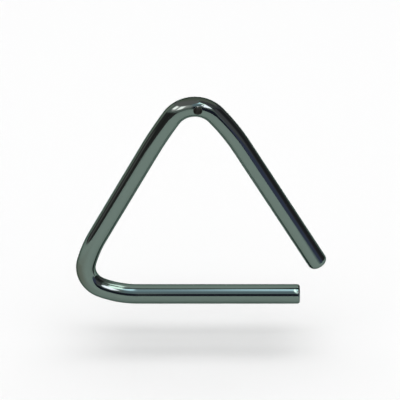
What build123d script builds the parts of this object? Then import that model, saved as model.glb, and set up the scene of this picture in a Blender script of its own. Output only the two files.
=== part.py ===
from build123d import *
import os

# Triangle instrument: one round steel bar, bent twice and drilled once.
# It stands upright in the XZ plane and is seen from -Y. The origin is the middle of the hang hole, on
# the bar's centreline. Lengths are in millimetres and turns in degrees.

# Bar
bar_diameter = 10.0
bottom_end_rounding = 1.2
right_end_rounding = 3.0

# Straight legs, each from the end of one bend to the next bend or to the free end
bottom_leg = 82.7
left_leg = 54.2
right_leg = 77.9

# Closed corner at the lower left: a tight bend with a gentler lead on each side
corner_radius = 12.6
corner_turn = 82.9
corner_lead_radius_bottom = 48.7
corner_lead_turn_bottom = 22.4
corner_lead_radius_left = 69.1
corner_lead_turn_left = 13.3

# Crown at the top: a tight bend, measured each way from the hang hole, with a gentler lead on each side
crown_radius = 14.1
crown_turn_left = 61.9
crown_turn_right = 41.6
crown_lead_radius_left = 225.0
crown_lead_turn_left = 5.6
crown_lead_radius_right = 110.5
crown_lead_turn_right = 11.5

# Hang hole, drilled from front to back through the bar's centreline, with softened rims
hole_diameter = 4.4
hole_rim_rounding = 0.12

# The bar's slope at the hole is what is left of a half turn, so that the bottom leg lies level
turn_at_crown = crown_turn_left + crown_lead_turn_left
turn_at_corner = corner_lead_turn_left + corner_turn + corner_lead_turn_bottom
slope_at_hole = 180 - turn_at_crown - turn_at_corner
hole_plane = Plane.XZ.rotated((0, -slope_at_hole, 0))

with BuildPart() as triangle_bar:
    with BuildLine(hole_plane) as centreline:
        # The crown runs anticlockwise over the hole, from the right leg's side to the left leg's side
        crown = CenterArc(
            (0, -crown_radius),
            crown_radius,
            90 - crown_turn_right,
            crown_turn_right + crown_turn_left,
        )

        # Right of the hole: clockwise down to the right leg's free end
        lead = JernArc(crown @ 0, -(crown % 0), crown_lead_radius_right, -crown_lead_turn_right)
        PolarLine(lead @ 1, right_leg, direction=lead % 1)

        # Left of the hole: anticlockwise down the left leg and round the corner to the bottom leg's free end
        lead = JernArc(crown @ 1, crown % 1, crown_lead_radius_left, crown_lead_turn_left)
        leg = PolarLine(lead @ 1, left_leg, direction=lead % 1)
        lead = JernArc(leg @ 1, leg % 1, corner_lead_radius_left, corner_lead_turn_left)
        corner = JernArc(lead @ 1, lead % 1, corner_radius, corner_turn)
        lead = JernArc(corner @ 1, corner % 1, corner_lead_radius_bottom, corner_lead_turn_bottom)
        bottom = PolarLine(lead @ 1, bottom_leg, direction=lead % 1)

    # The round section starts at the bottom leg's free end and follows the centreline. Its seam starts
    # underneath, so that it runs along the outside of the bends and clear of the hole's mouths.
    with BuildSketch(Plane(origin=bottom @ 1, x_dir=Vector(0, 0, -1), z_dir=-(bottom % 1))) as section:
        Circle(bar_diameter / 2)
    sweep()

    # Both sawn ends are rounded, the right leg's more than the bottom leg's
    bottom_end = triangle_bar.faces().filter_by(GeomType.PLANE).sort_by(Axis.Z)[0]
    fillet(bottom_end.edges(), bottom_end_rounding)
    right_end = triangle_bar.faces().filter_by(GeomType.PLANE).sort_by(Axis.Z)[-1]
    fillet(right_end.edges(), right_end_rounding)

    # The hang hole goes right through the crown, and both of its mouths are softened
    with BuildSketch(Plane.XZ) as hole:
        Circle(hole_diameter / 2)
    extrude(amount=bar_diameter, both=True, mode=Mode.SUBTRACT)
    fillet(triangle_bar.edges(Select.NEW), hole_rim_rounding)

triangle_bar.part.label = "triangle_bar"

os.makedirs("parts", exist_ok=True)
export_step(triangle_bar.part, "parts/triangle_bar.step")
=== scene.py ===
import bmesh
import bpy
import math
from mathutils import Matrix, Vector


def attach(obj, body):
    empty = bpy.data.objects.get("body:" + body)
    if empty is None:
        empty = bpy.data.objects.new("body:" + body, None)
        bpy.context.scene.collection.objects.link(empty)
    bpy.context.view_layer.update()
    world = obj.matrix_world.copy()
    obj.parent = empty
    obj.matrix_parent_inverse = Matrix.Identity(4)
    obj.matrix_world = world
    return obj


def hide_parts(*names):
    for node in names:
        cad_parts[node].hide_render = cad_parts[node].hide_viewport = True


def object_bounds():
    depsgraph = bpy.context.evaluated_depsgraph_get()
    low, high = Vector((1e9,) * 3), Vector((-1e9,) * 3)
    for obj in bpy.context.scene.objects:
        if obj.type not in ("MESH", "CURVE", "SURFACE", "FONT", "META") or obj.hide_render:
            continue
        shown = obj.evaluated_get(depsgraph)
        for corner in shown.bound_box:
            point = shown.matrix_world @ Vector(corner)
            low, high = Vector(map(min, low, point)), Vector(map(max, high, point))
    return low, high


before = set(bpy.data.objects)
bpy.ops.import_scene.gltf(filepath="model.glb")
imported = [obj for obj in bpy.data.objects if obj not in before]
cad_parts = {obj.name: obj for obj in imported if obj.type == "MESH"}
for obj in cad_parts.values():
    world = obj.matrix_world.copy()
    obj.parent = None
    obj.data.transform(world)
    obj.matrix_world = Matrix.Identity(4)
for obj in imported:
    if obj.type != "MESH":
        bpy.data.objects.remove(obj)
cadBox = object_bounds()
barRadius = (cadBox[1].y - cadBox[0].y) / 2
print("frame loaded, bar radius", round(barRadius * 1000, 2), "mm")


def mm(size):
    return size / 1000


# The bar. Lengths are in millimetres and turns in degrees. Each side is walked outwards from the hang
# hole: a bend is (radius, turn) and a straight leg is (length,).
bar = {
    "rightSide": [(14.1, 41.6), (110.5, 11.5), (77.9,)],
    "leftSide": [(14.1, 61.9), (225.0, 5.6), (54.2,), (69.1, 13.3), (12.6, 82.9), (48.7, 22.4), (82.7,)],
    "rightEndRounding": 3.0,
    "bottomEndRounding": 1.2,
    "endSegments": 12,
    "endProfile": 0.5,  # a quarter circle
    "capEdge": 0.2,  # narrow flat ring that keeps the cap's shading flat
    "pointsRound": 128,
    "ringTurn": 1.0,  # most that a bend turns from ring to ring
    "ringGap": 3.2,  # most that two rings lie apart, and more than an end's rounding
    "nearby": 0.01,  # a point this near to a ring is on it
    "mergeGap": 0.001,
}


def direction(angle):
    # a heading in the triangle's plane, anticlockwise from +X as seen from the front
    return Vector((math.cos(math.radians(angle)), 0, math.sin(math.radians(angle))))


def layOut(side, heading, sign):
    # where each stretch of one side starts, and which way it heads and bends
    spot = Vector((0, 0, 0))
    walked = 0
    laid = []
    for stretch in side:
        inward = direction(heading + sign * 90)
        piece = {"start": spot, "ahead": direction(heading), "inward": inward, "walked": walked, "sign": sign}
        if len(stretch) == 1:
            piece["length"] = mm(stretch[0])
            spot = spot + piece["ahead"] * piece["length"]
        else:
            piece["radius"] = mm(stretch[0])
            piece["turn"] = math.radians(stretch[1])
            piece["length"] = piece["radius"] * piece["turn"]
            piece["centre"] = spot + inward * piece["radius"]
            heading = heading + sign * stretch[1]
            spot = piece["centre"] - direction(heading + sign * 90) * piece["radius"]
        walked += piece["length"]
        laid.append(piece)
    return laid


# the bottom leg lies level, so the slope at the hole is what the left side's bends leave of a half turn
slopeAtHole = 180 - sum(stretch[1] for stretch in bar["leftSide"] if len(stretch) == 2)
rightSide = layOut(bar["rightSide"], slopeAtHole, -1)
leftSide = layOut(bar["leftSide"], slopeAtHole + 180, 1)
crown = rightSide[0]


def straightened(point):
    # the same point on the bar before it was bent: length along it from the hole (right is plus), depth
    # from front to back, and offset towards the inside of the triangle; and the stretch that it lies on
    best = None
    for piece in rightSide + leftSide:
        if "turn" in piece:
            arm = Vector((point.x, 0, point.z)) - piece["centre"]
            turned = math.atan2(arm.dot(piece["ahead"]), -arm.dot(piece["inward"]))
            along = turned * piece["radius"]
            offset = piece["radius"] - arm.length
        else:
            arm = Vector((point.x, 0, point.z)) - piece["start"]
            along = arm.dot(piece["ahead"])
            offset = arm.dot(piece["inward"])
        outside = max(-along, along - piece["length"], 0) + max(abs(offset) - barRadius, 0)
        if best is None or outside < best[0]:
            best = (outside, Vector((-piece["sign"] * (piece["walked"] + along), point.y, offset)), piece)
    return best[1:]


def growSide(laid):
    # carries the selected ring along one side, stretch by stretch
    for piece in laid:
        rings = math.ceil(piece["length"] / mm(bar["ringGap"]))
        if "turn" in piece:
            rings = max(rings, math.ceil(math.degrees(piece["turn"]) / bar["ringTurn"]))
            bpy.ops.mesh.spin(
                steps=rings,
                angle=piece["sign"] * piece["turn"],
                center=piece["centre"],
                axis=(0, 1, 0),
                use_auto_merge=False,
            )
        else:
            step = piece["ahead"] * (piece["length"] / rings)
            for ring in range(rings):
                bpy.ops.mesh.extrude_region_move(TRANSFORM_OT_translate={"value": step})


def closeEnd(rounding):
    # a flat cap on the selected ring, with its rim rounded
    bpy.ops.mesh.edge_face_add()
    bpy.ops.mesh.region_to_loop()
    bpy.ops.mesh.bevel(
        offset=mm(rounding), segments=bar["endSegments"], profile=bar["endProfile"], affect="EDGES"
    )
    bpy.ops.mesh.select_all(action="DESELECT")
    bpy.ops.mesh.select_face_by_sides(number=4, type="GREATER", extend=False)  # only the cap has more sides
    bpy.ops.mesh.inset(thickness=mm(bar["capEdge"]))
    bpy.ops.mesh.poke()


def selectPoints(isWanted):
    bpy.ops.mesh.select_mode(type="VERT")
    bpy.ops.mesh.select_all(action="DESELECT")
    mesh = bmesh.from_edit_mesh(triangleBar.data)
    for vert in mesh.verts:
        vert.select = isWanted(vert.co)
    mesh.select_flush(True)
    bmesh.update_edit_mesh(triangleBar.data)


def isOnFirstRing(spot):
    return spot.length < barRadius + mm(bar["nearby"]) and abs(spot.dot(crown["ahead"])) < mm(bar["nearby"])


bpy.ops.object.select_all(action="DESELECT")  # the CAD nodes come in selected
bpy.ops.mesh.primitive_circle_add(
    vertices=bar["pointsRound"],
    radius=barRadius,
    rotation=(0, math.radians(90 - slopeAtHole), 0),
)
triangleBar = bpy.context.object
triangleBar.name = "triangleBar"
bpy.ops.object.transform_apply(location=True, rotation=True, scale=True)
bpy.ops.object.mode_set(mode="EDIT")
bpy.ops.mesh.select_all(action="SELECT")
growSide(rightSide)
closeEnd(bar["rightEndRounding"])
selectPoints(isOnFirstRing)
growSide(leftSide)
closeEnd(bar["bottomEndRounding"])
print("bar bent and its ends closed")

# The hang hole, drilled from front to back through the crown, in millimetres
hangHole = {
    "width": 4.4,
    "rimRounding": 0.12,
    "rimSegments": 6,
    "windowHalf": 14,  # rings, and points round the bar, that each mouth clears each way from its middle
    "windowCuts": 4,
    "mouthReach": 0.75,  # share of the bar's radius within which points are set on the crown's surface
    "boreCuts": 12,
    "boreReach": 0.005,  # a point this near to the drilled wall is on it
}
holeRadius = mm(hangHole["width"]) / 2
rimRounding = mm(hangHole["rimRounding"])
mouthRadius = holeRadius + rimRounding


def fromAxis(spot):
    return math.hypot(spot.x, spot.z)


def crownDepth(spot):
    # how far the crown's surface lies from the triangle's plane, with the hole's rim turned in
    offset = (Vector((spot.x, 0, spot.z)) - crown["centre"]).length - crown["radius"]
    depth = math.sqrt(barRadius**2 - offset**2)
    lean = (mouthRadius - fromAxis(spot)) / rimRounding
    if lean > 0:
        depth -= rimRounding * (1 - math.sqrt(max(0, 1 - lean**2)))
    return depth


def openMouth(side):
    # clears a window in the crown and fills it again up to the hole's rounded rim
    reachAlong = crown["radius"] * math.radians(bar["ringTurn"]) * hangHole["windowHalf"]
    reachRound = 2 * math.pi / bar["pointsRound"] * hangHole["windowHalf"]
    bpy.ops.mesh.select_mode(type="FACE")
    bpy.ops.mesh.select_all(action="DESELECT")
    mesh = bmesh.from_edit_mesh(triangleBar.data)
    for face in mesh.faces:
        spot = face.calc_center_median()
        if spot.y * side > 0 and spot.length < 2 * barRadius:
            flat = straightened(spot)[0]
            face.select = abs(flat.x) < reachAlong and abs(flat.z) < barRadius * math.sin(reachRound)
    bmesh.update_edit_mesh(triangleBar.data)
    bpy.ops.mesh.delete(type="FACE")
    bpy.ops.mesh.primitive_circle_add(
        vertices=8 * hangHole["windowHalf"],  # as many as the window's border has
        radius=mouthRadius,
        location=(0, side * barRadius, 0),
        rotation=(math.radians(90), math.radians(-slopeAtHole), 0),
    )
    bpy.ops.mesh.select_mode(type="EDGE")
    bpy.ops.mesh.select_all(action="DESELECT")
    mesh = bmesh.from_edit_mesh(triangleBar.data)
    for edge in mesh.edges:  # the window's border and the circle, on this side only
        edge.select = len(edge.link_faces) < 2 and edge.verts[0].co.y * side > 0
    bmesh.update_edit_mesh(triangleBar.data)
    bpy.ops.mesh.bridge_edge_loops(number_cuts=hangHole["windowCuts"], interpolation="LINEAR")
    selectPoints(lambda spot: spot.y * side > 0 and abs(fromAxis(spot) - mouthRadius) < mm(bar["nearby"]))
    size = mouthRadius
    for segment in range(1, hangHole["rimSegments"] + 1):
        lean = math.sin(math.pi / 2 * segment / hangHole["rimSegments"])
        nextSize = holeRadius + rimRounding * (1 - lean)
        bpy.ops.mesh.extrude_region_move(TRANSFORM_OT_translate={"value": (0, 0, 0)})
        shrink = nextSize / size
        bpy.ops.transform.resize(value=(shrink, 1, shrink), center_override=(0, side * barRadius, 0))
        size = nextSize
    mesh = bmesh.from_edit_mesh(triangleBar.data)
    for vert in mesh.verts:
        if vert.co.y * side > 0 and fromAxis(vert.co) < barRadius * hangHole["mouthReach"]:
            vert.co.y = side * crownDepth(vert.co)
    bmesh.update_edit_mesh(triangleBar.data)


for side in (-1, 1):
    openMouth(side)
selectPoints(lambda spot: abs(fromAxis(spot) - holeRadius) < mm(hangHole["boreReach"]))
bpy.ops.mesh.bridge_edge_loops(number_cuts=hangHole["boreCuts"], interpolation="LINEAR")
bpy.ops.mesh.select_all(action="SELECT")
bpy.ops.mesh.remove_doubles(threshold=mm(bar["mergeGap"]))
bpy.ops.mesh.normals_make_consistent(inside=False)
bpy.ops.object.mode_set(mode="OBJECT")
bpy.ops.object.shade_smooth()
print("hang hole opened:", len(triangleBar.data.vertices), "points,", len(triangleBar.data.polygons), "faces")

# each point keeps what the finish needs: its place on the straight bar, so that the finish runs along the
# bends, how tightly the bar is bent there, and whether it is on the hole's drilled wall
barPlace = triangleBar.data.attributes.new("straightBar", "FLOAT_VECTOR", "POINT")
barBend = triangleBar.data.attributes.new("bentShare", "FLOAT", "POINT")
barBore = triangleBar.data.attributes.new("drilledShare", "FLOAT", "POINT")
for vert in triangleBar.data.vertices:
    flat, stretch = straightened(vert.co)
    barPlace.data[vert.index].vector = flat
    barBend.data[vert.index].value = min(1, crown["radius"] / stretch["radius"]) if "turn" in stretch else 0
    barBore.data[vert.index].value = fromAxis(vert.co) < holeRadius + mm(hangHole["boreReach"])

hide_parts("triangle_bar")
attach(triangleBar, "root")


def colour(hexValue):
    # an sRGB hex value as linear colour
    parts = [int(hexValue[place:place + 2], 16) / 255 for place in (1, 3, 5)]
    linear = [part / 12.92 if part <= 0.04045 else ((part + 0.055) / 1.055) ** 2.4 for part in parts]
    return (*linear, 1)


def addNode(tree, kind, settings=None, inputs=None):
    # one node with its settings; an input that is a socket is linked, any other value is set
    node = tree.nodes.new(kind)
    for name, value in (settings or {}).items():
        setattr(node, name, value)
    for name, value in (inputs or {}).items():
        if isinstance(value, bpy.types.NodeSocket):
            tree.links.new(value, node.inputs[name])
        else:
            node.inputs[name].default_value = value
    return node


def newMaterial(name):
    material = bpy.data.materials.new(name)
    material.use_nodes = True
    material.node_tree.nodes.clear()
    return material, material.node_tree


# Polished nickel plate on drawn steel: a dark grey-green mirror. Polishing along the bar leaves fine
# lines that draw its highlights out lengthwise, handling leaves a faint haze in patches, and bending
# leaves faint waves that make highlights wander. The hole's wall is left dull by the drill, and its
# colour is painted darker, as shade inside the hole.
# Sizes and depths are in millimetres, and each detail is the noise's octaves and their roughness.
plate = {
    "bright": "#6f8078",
    "dull": "#66756e",
    "edge": "#7c8481",  # the plating darkens towards grazing angles
    "roughness": (0.05, 0.1),
    "wearRange": (0.4, 0.95),  # least and most wear, which give the two roughnesses
    "lineWidth": 0.3,  # ten times the real ones, which are too fine to show, and still faint
    "lineLength": 30.0,
    "lineDepth": 0.0006,
    "lineDetail": (3.0, 0.6),
    "lineShare": 0.35,  # of the wear, against the haze
    "hazeSize": 14.0,
    "hazeDetail": (4.0, 0.55),
    "rippleSize": 5.0,
    "rippleDepth": 0.012,
    "rippleDetail": (1.0, 0.4),
    # the drilled wall's colour, darkened as painted shade inside the hole
    "bore": "#44463f",
    "boreRoughness": 0.5,
    "boreMetallic": 0.5,  # cutting oil and dust dull it
}


def platedSteel():
    material, tree = newMaterial("polishedNickelPlate")
    place = addNode(tree, "ShaderNodeAttribute", {"attribute_name": "straightBar"}).outputs["Vector"]
    bent = addNode(tree, "ShaderNodeAttribute", {"attribute_name": "bentShare"})
    drilled = addNode(tree, "ShaderNodeAttribute", {"attribute_name": "drilledShare"})

    across = 1 / mm(plate["lineWidth"])
    stretched = addNode(
        tree,
        "ShaderNodeMapping",
        inputs={"Vector": place, "Scale": (1 / mm(plate["lineLength"]), across, across)},
    )
    lines = addNode(
        tree,
        "ShaderNodeTexNoise",
        inputs={
            "Vector": stretched.outputs["Vector"],
            "Scale": 1.0,
            "Detail": plate["lineDetail"][0],
            "Roughness": plate["lineDetail"][1],
        },
    )
    haze = addNode(
        tree,
        "ShaderNodeTexNoise",
        inputs={
            "Vector": place,
            "Scale": 1 / mm(plate["hazeSize"]),
            "Detail": plate["hazeDetail"][0],
            "Roughness": plate["hazeDetail"][1],
        },
    )
    ripples = addNode(
        tree,
        "ShaderNodeTexNoise",
        inputs={
            "Vector": place,
            "Scale": 1 / mm(plate["rippleSize"]),
            "Detail": plate["rippleDetail"][0],
            "Roughness": plate["rippleDetail"][1],
        },
    )

    tint = addNode(
        tree,
        "ShaderNodeMix",
        {"data_type": "RGBA"},
        {"Factor": haze.outputs["Fac"], "A": colour(plate["bright"]), "B": colour(plate["dull"])},
    )
    wear = addNode(
        tree,
        "ShaderNodeMath",
        {"operation": "MULTIPLY_ADD"},
        {0: lines.outputs["Fac"], 1: plate["lineShare"], 2: haze.outputs["Fac"]},
    )
    roughness = addNode(
        tree,
        "ShaderNodeMapRange",
        inputs={
            "Value": wear.outputs["Value"],
            "From Min": plate["wearRange"][0],
            "From Max": plate["wearRange"][1],
            "To Min": plate["roughness"][0],
            "To Max": plate["roughness"][1],
        },
    )
    waveHeight = addNode(
        tree,
        "ShaderNodeMath",
        {"operation": "MULTIPLY"},
        {0: ripples.outputs["Fac"], 1: bent.outputs["Fac"]},
    )
    waves = addNode(
        tree,
        "ShaderNodeBump",
        inputs={
            "Height": waveHeight.outputs["Value"],
            "Strength": 1.0,
            "Distance": mm(plate["rippleDepth"]),
        },
    )
    surface = addNode(
        tree,
        "ShaderNodeBump",
        inputs={
            "Height": lines.outputs["Fac"],
            "Strength": 1.0,
            "Distance": mm(plate["lineDepth"]),
            "Normal": waves.outputs["Normal"],
        },
    )
    # the drilled wall differs from the plated outside in gloss and metal, and in a darker colour that is
    # painted shade inside the hole
    metal = addNode(
        tree,
        "ShaderNodeMix",
        {"data_type": "RGBA"},
        {"Factor": drilled.outputs["Fac"], "A": tint.outputs["Result"], "B": colour(plate["bore"])},
    )
    gloss = addNode(
        tree,
        "ShaderNodeMix",
        {"data_type": "FLOAT"},
        {"Factor": drilled.outputs["Fac"], "A": roughness.outputs["Result"], "B": plate["boreRoughness"]},
    )
    metallic = addNode(
        tree,
        "ShaderNodeMix",
        {"data_type": "FLOAT"},
        {"Factor": drilled.outputs["Fac"], "A": 1.0, "B": plate["boreMetallic"]},
    )
    shader = addNode(
        tree,
        "ShaderNodeBsdfPrincipled",
        inputs={
            "Base Color": metal.outputs["Result"],
            "Metallic": metallic.outputs["Result"],
            "Roughness": gloss.outputs["Result"],
            "Specular Tint": colour(plate["edge"]),
            "Normal": surface.outputs["Normal"],
        },
    )
    addNode(tree, "ShaderNodeOutputMaterial", inputs={"Surface": shader.outputs["BSDF"]})
    return material


triangleBar.data.materials.clear()
triangleBar.data.materials.append(platedSteel())
print("bar plated")

# The studio, in metres. The triangle hangs just clear of the floor.
studio = {
    "room": "#b4b4b4",
    "floor": "#f4f4f4",
    "floorRadius": 9.0,
    "floorPoints": 96,
    "floorGap": 0.022,
    "lampSize": 3.0,
    "lampBack": 0.2,
    "lampHeight": 2.2,
    "lampPower": 49.0,
    "cardDistance": 2.0,
    "cardGap": 0.02,
    "cardEdge": 0.15,
    "cardGrid": (24, 12),
    "floorSheetLift": 0.001,  # a sheet on the floor lies this far above it
}
floorLevel = cadBox[0].z - studio["floorGap"]

world = bpy.data.worlds.new("room")
bpy.context.scene.world = world
world.use_nodes = True
world.node_tree.nodes["Background"].inputs["Color"].default_value = colour(studio["room"])
world.node_tree.nodes["Background"].inputs["Strength"].default_value = 1.0

bpy.ops.object.select_all(action="DESELECT")
bpy.ops.mesh.primitive_circle_add(
    vertices=studio["floorPoints"],
    radius=studio["floorRadius"],
    fill_type="NGON",
    location=(0, 0, floorLevel),
)
floor = bpy.context.object
floor.name = "floor"
# Matt white floor paper: no gloss, so all it shows is the soft shadow
floorPaper, tree = newMaterial("mattFloorPaper")
shader = addNode(tree, "ShaderNodeBsdfDiffuse", inputs={"Color": colour(studio["floor"])})
addNode(tree, "ShaderNodeOutputMaterial", inputs={"Surface": shader.outputs["BSDF"]})
floor.data.materials.append(floorPaper)

lampData = bpy.data.lights.new("overheadLamp", "AREA")
lampData.shape = "SQUARE"
lampData.size = studio["lampSize"]
lampData.energy = studio["lampPower"]
lamp = bpy.data.objects.new("overheadLamp", lampData)
bpy.context.scene.collection.objects.link(lamp)
lamp.location = (0, studio["lampBack"], floorLevel + studio["lampHeight"])
lamp.visible_glossy = False

# Cards round the bar, as directions from its middle in degrees: azimuth from the camera's side (right is
# plus), and the lower and upper elevation at the first and at the second azimuth. Strength 1 is as bright
# as white paper, edge is the share of the card that its soft border takes, and distance and around are in
# metres. Where two overlap, the one named first hangs nearer, unless it has a distance of its own.
papers = {
    "white": "#ffffff",
    "warm": "#ffe8f0",
    "cream": "#fff2ea",
    "violet": "#ffe9fd",
    "blue": "#c0bdff",
    "sky": "#dae8ff",
}
overCrown = (0.002, 0, 0.002)
cards = {
    # dark boards and flags, which give the bar its black lines
    "frontBoard": {
        "azimuth": (-5, 36), "low": (0, -7), "high": (8, 8),
        "strength": 0.06, "paper": "blue", "distance": 0.5,
    },
    "rightBoard": {
        "azimuth": (28, 74), "low": (-10, -10), "high": (9, 9),
        "strength": 0.31, "paper": "blue", "distance": 0.6,
    },
    "leftNearFlag": {
        "azimuth": (-46, -20), "low": (-5, -5), "high": (24, 11),
        "strength": 0.1, "paper": "warm", "distance": 1.0, "edge": 0.12,
    },
    "frontFlag": {
        "azimuth": (-5, 36), "low": (1, -6), "high": (29, 21),
        "strength": 0.08, "paper": "blue", "edge": 0.1,
    },
    "leftFlag": {
        "azimuth": (-84, -40), "low": (-10, -10), "high": (31, 24),
        "strength": 0.08, "paper": "warm", "edge": 0.12,
    },
    "leftStreak": {
        "azimuth": (-94, -72), "low": (-4, -4), "high": (12, 10),
        "strength": 0.42, "paper": "warm",
    },
    "leftFarFlag": {
        "azimuth": (-112, -78), "low": (-10, -10), "high": (25, 29),
        "strength": 0.1, "paper": "warm",
    },
    "rightNearFlag": {
        "azimuth": (34, 80), "low": (-3, -3), "high": (30, 52),
        "strength": 0.27, "paper": "violet", "edge": 0.25,
    },
    "rightFlag": {
        "azimuth": (40, 128), "low": (-12, -12), "high": (44, 60),
        "strength": 0.075, "paper": "violet",
    },
    "rightFarFlag": {
        "azimuth": (112, 164), "low": (-12, -12), "high": (58, 46),
        "strength": 0.3, "paper": "warm",
    },
    # darker sheets on the floor that only the reflections see, the left one painted shade where the reflected
    # floor is darker, and a pale wall
    # a sheet that only the reflections see, which makes the floor as the bar reflects it darker on the right
    "rightDarkFloorSheet": {
        "azimuth": (31, 84), "low": (-24, -24), "high": (-3, -3),
        "strength": 0.42, "paper": "sky", "onFloor": True, "edge": 0.3,
    },
    # painted shade: the floor, as the bar reflects it, is darker here than the floor itself
    "leftFloorShade": {
        "azimuth": (-170, -25), "low": (-55, -55), "high": (-5, -5),
        "strength": 0.7, "paper": "cream", "onFloor": True, "edge": 0.4,
    },
    "leftWall": {
        "azimuth": (-158, -112), "low": (-10, -10), "high": (40, 40),
        "strength": 0.8, "paper": "cream",
    },
    # soft windows, which give the bends their highlights
    "leftWindow": {
        "azimuth": (-42, -20), "low": (27, 20), "high": (46, 40),
        "strength": 5.4, "paper": "warm",
    },
    "leftFarWindow": {
        "azimuth": (-88, -52), "low": (36, 34), "high": (54, 46),
        "strength": 5.4, "paper": "warm",
    },
    "leftGlow": {
        "azimuth": (-104, 4), "low": (36, 13), "high": (55, 47),
        "strength": 1.5, "paper": "warm", "edge": 0.25,
    },
    "rightWindow": {
        "azimuth": (16, 46), "low": (30, 33), "high": (47, 58),
        "strength": 6.0, "paper": "violet", "edge": 0.12,
    },
    "upperWindow": {
        "azimuth": (28, 84), "low": (47, 67), "high": (70, 82),
        "strength": 4.8, "paper": "white",
    },
    "topWindow": {
        "azimuth": (-5, 50), "low": (56, 56), "high": (89, 89),
        "strength": 4.4, "paper": "sky", "edge": 0.35,
    },
    "topGlow": {
        "azimuth": (-50, 40), "low": (49, 49), "high": (89, 89),
        "strength": 1.2, "paper": "sky", "edge": 0.25,
    },
    "frontGlow": {
        "azimuth": (-12, 14), "low": (28, 28), "high": (60, 60),
        "strength": 0.75, "paper": "sky",
    },
    "backWindow": {
        "azimuth": (92, 160), "low": (62, 54), "high": (80, 72),
        "strength": 3.8, "paper": "white",
    },
    "backCard": {
        "azimuth": (146, 214), "low": (2, 2), "high": (89, 89),
        "strength": 0.95, "paper": "white",
    },
    # close over the crown, so that the lights overhead show in the other bend and not there
    "crownLeftFlag": {
        "azimuth": (-110, 10), "low": (-20, 65), "high": (89, 89),
        "strength": 0.52, "paper": "warm", "around": overCrown, "distance": 0.0142, "edge": 0.08,
    },
    "crownRightFlag": {
        "azimuth": (14, 120), "low": (66, -28), "high": (89, 89),
        "strength": 0.22, "paper": "violet", "around": overCrown, "distance": 0.014, "edge": 0.08,
    },
    "crownBackFlag": {
        "azimuth": (85, 275), "low": (12, 12), "high": (89, 89),
        "strength": 0.44, "paper": "cream", "around": overCrown, "distance": 0.0138, "edge": 0.08,
    },
    # close to the bottom leg's end, for its glint
    "endGlint": {
        "azimuth": (-12, 12), "low": (64, 10), "high": (82, 82),
        "strength": 6.5, "paper": "white", "around": (0.05, 0, -0.106), "distance": 0.015, "edge": 0.42,
    },
}


def aimAt(azimuth, elevation):
    azimuth = math.radians(azimuth)
    elevation = math.radians(elevation)
    return Vector((
        math.sin(azimuth) * math.cos(elevation),
        -math.cos(azimuth) * math.cos(elevation),
        math.sin(elevation),
    ))


def between(first, second, share):
    return first * (1 - share) + second * share


def hangCard(name, card, distance):
    # a curved card that only the metal's reflections see, with a soft border
    bpy.ops.object.select_all(action="DESELECT")
    columns, rows = studio["cardGrid"]
    bpy.ops.mesh.primitive_grid_add(x_subdivisions=columns, y_subdivisions=rows, size=1, calc_uvs=True)
    sheet = bpy.context.object
    sheet.name = name
    middle = Vector(card["around"]) if "around" in card else (cadBox[0] + cadBox[1]) / 2
    for vert in sheet.data.vertices:
        across = vert.co.x + 0.5
        upwards = vert.co.y + 0.5
        low = between(*card["low"], across)
        high = between(*card["high"], across)
        aim = aimAt(between(*card["azimuth"], across), between(low, high, upwards))
        if "onFloor" in card:
            distance = (floorLevel + studio["floorSheetLift"] - middle.z) / aim.z
        vert.co = middle + aim * distance
    material, tree = newMaterial(name + "Surface")
    place = addNode(tree, "ShaderNodeUVMap").outputs["UV"]
    apart = addNode(tree, "ShaderNodeSeparateXYZ", inputs={"Vector": place})
    cover = addNode(tree, "ShaderNodeNewGeometry").outputs["Backfacing"]  # its outer side stays clear
    border = card.get("edge", studio["cardEdge"])
    for way in ("X", "Y"):
        # 0 at both borders and 0.5 half way between them
        fold = addNode(tree, "ShaderNodeMath", {"operation": "PINGPONG"}, {0: apart.outputs[way], 1: 0.5})
        soft = addNode(
            tree,
            "ShaderNodeMapRange",
            {"interpolation_type": "SMOOTHSTEP"},
            {"Value": fold.outputs["Value"], "From Min": 0.0, "From Max": border},
        )
        product = addNode(
            tree,
            "ShaderNodeMath",
            {"operation": "MULTIPLY"},
            {0: soft.outputs["Result"], 1: cover},
        )
        cover = product.outputs["Value"]
    glow = addNode(
        tree,
        "ShaderNodeEmission",
        inputs={"Color": colour(papers[card["paper"]]), "Strength": card["strength"]},
    )
    clear = addNode(tree, "ShaderNodeBsdfTransparent")
    mixed = addNode(
        tree,
        "ShaderNodeMixShader",
        inputs={0: cover, 1: clear.outputs["BSDF"], 2: glow.outputs["Emission"]},
    )
    addNode(tree, "ShaderNodeOutputMaterial", inputs={"Surface": mixed.outputs["Shader"]})
    sheet.data.materials.append(material)
    for ray in ("camera", "diffuse", "shadow", "transmission", "volume_scatter"):
        setattr(sheet, "visible_" + ray, False)


for place, (name, card) in enumerate(cards.items()):
    hangCard(name, card, card.get("distance", studio["cardDistance"] + place * studio["cardGap"]))
print("studio set up with", len(cards), "cards")

# The camera, at the photograph's viewing angle. The aim is the image's middle, in millimetres.
view = {
    "tilt": 27.1,
    "distance": 1.8,  # metres
    "aim": (1.1, 0.11, -52.11),
    "pixelsPerMm": 1.984,
    "imageWidth": 400,
    "sensorWidth": 36.0,
}
seenWidth = mm(view["imageWidth"] / view["pixelsPerMm"])  # what the image spans at the aim
cameraData = bpy.data.cameras.new("camera")
cameraData.sensor_width = view["sensorWidth"]
cameraData.lens = view["sensorWidth"] * view["distance"] / seenWidth
camera = bpy.data.objects.new("camera", cameraData)
bpy.context.scene.collection.objects.link(camera)
bpy.context.scene.camera = camera
camera.location = Vector(view["aim"]) / 1000 + aimAt(0, view["tilt"]) * view["distance"]
camera.rotation_euler = (math.radians(90 - view["tilt"]), 0, 0)
bpy.context.scene.view_settings.view_transform = "Standard"
print("camera placed, lens", round(cameraData.lens, 1), "mm")
